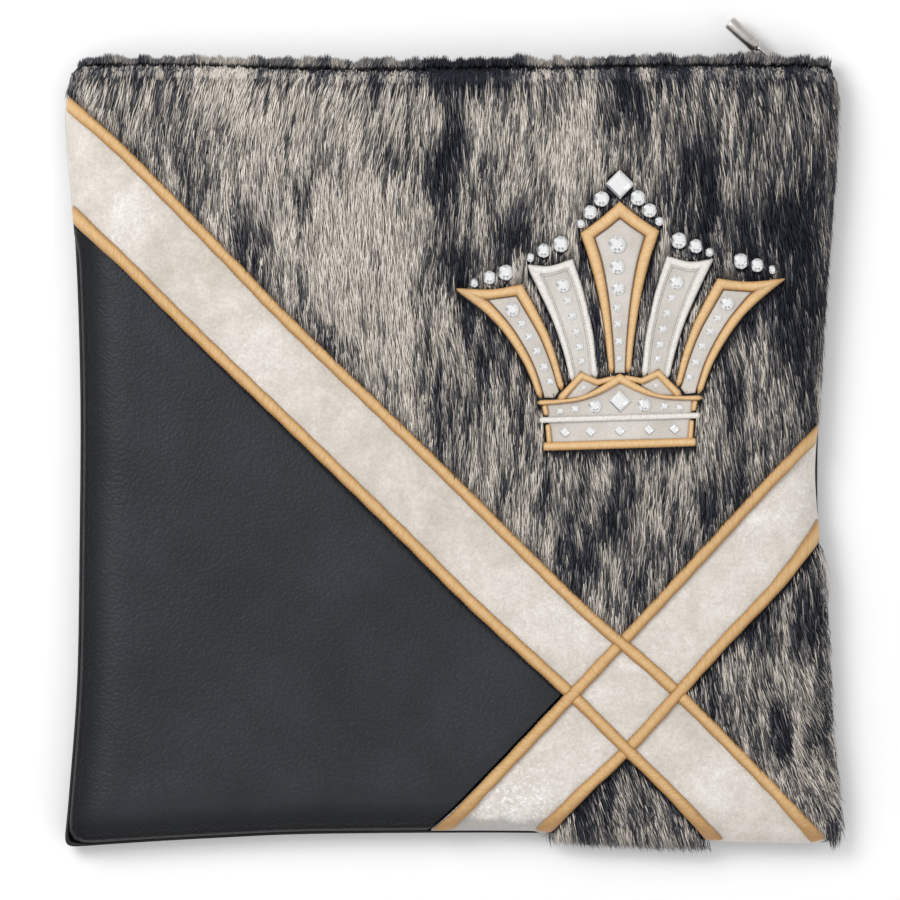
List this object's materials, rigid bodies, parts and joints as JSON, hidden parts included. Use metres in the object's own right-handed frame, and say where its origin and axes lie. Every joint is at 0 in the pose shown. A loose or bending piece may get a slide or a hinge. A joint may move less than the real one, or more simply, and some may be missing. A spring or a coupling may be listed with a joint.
{
  "type": "tallit bag",
  "caption": "Lightly filled square zip bag for a folded prayer shawl: fur front, leather corner, crossed pale bands edged in gold stitching, and a crown set with clear stones.",
  "frame": {"origin": "middle of the flat face of the back that the bag rests on", "axes": "+Z out of the front, +X to the bag's right as seen from the front, +Y towards the zip"},
  "size_m": [0.3596, 0.3863, 0.0309],
  "materials": {
    "black_leather": "smooth, satin",
    "pebbled_leather": "fine pebble grain, satin",
    "grey_fur": "speckled grey and black fur, long hair",
    "band_suede": "off-white, mottled, matt",
    "gold_thread": "padded satin stitch, soft sheen",
    "white_thread": "padded satin stitch, soft sheen",
    "crown_cloth": "pale greige, matt",
    "clear_stone": "cut, foil-backed",
    "zip_tape": "black, woven",
    "nickel": "polished nickel"
  },
  "bodies": {
    "bag": {"back_panel": "black_leather", "band_long": "band_suede", "band_short_lower": "band_suede", "band_short_upper": "band_suede", "crown_base_cloth": "crown_cloth", "crown_base_gold_bar": "gold_thread", "crown_base_swag": "gold_thread", "crown_base_white_bar": "white_thread", "crown_far_left_cloth": "crown_cloth", "crown_far_left_edge": "gold_thread", "crown_far_right_cloth": "crown_cloth", "crown_far_right_edge": "gold_thread", "crown_middle_cloth": "crown_cloth", "crown_middle_edge": "gold_thread", "crown_near_left_cloth": "crown_cloth", "crown_near_left_edge": "white_thread", "crown_near_right_cloth": "crown_cloth", "crown_near_right_edge": "white_thread", "crown_peak_left_cloth": "crown_cloth", "crown_peak_right_cloth": "crown_cloth", "edging_long_lower_left": "gold_thread", "edging_long_lower_right": "gold_thread", "edging_long_upper_left": "gold_thread", "edging_long_upper_right": "gold_thread", "edging_short_lower_lower": "gold_thread", "edging_short_lower_upper": "gold_thread", "edging_short_upper_lower": "gold_thread", "edging_short_upper_upper": "gold_thread", "fur_panel_bottom": "grey_fur", "fur_panel_main": "grey_fur", "fur_panel_right": "grey_fur", "fur_top_facing": "grey_fur", "leather_panel": "pebbled_leather", "stone_01": "clear_stone", "stone_02": "clear_stone", "stone_03": "clear_stone", "stone_04": "clear_stone", "stone_05": "clear_stone", "stone_06": "clear_stone", "stone_07": "clear_stone", "stone_08": "clear_stone", "stone_09": "clear_stone", "stone_10": "clear_stone", "stone_11": "clear_stone", "stone_12": "clear_stone", "stone_13": "clear_stone", "stone_14": "clear_stone", "stone_15": "clear_stone", "stone_16": "clear_stone", "stone_17": "clear_stone", "stone_18": "clear_stone", "stone_19": "clear_stone", "zip_coil": "zip_tape", "zip_slider": "nickel", "zip_tape_back": "zip_tape", "zip_tape_front": "zip_tape"},
    "pull": {"zip_pull": "nickel"}
  },
  "joints": [
    {"name": "pull_swing", "type": "hinge", "parent": "bag", "child": "pull", "pos_m": [0.148, 0.18448, 0.0092], "axis": [0, 0, 1], "range_deg": [-130, 35]}
  ]
}
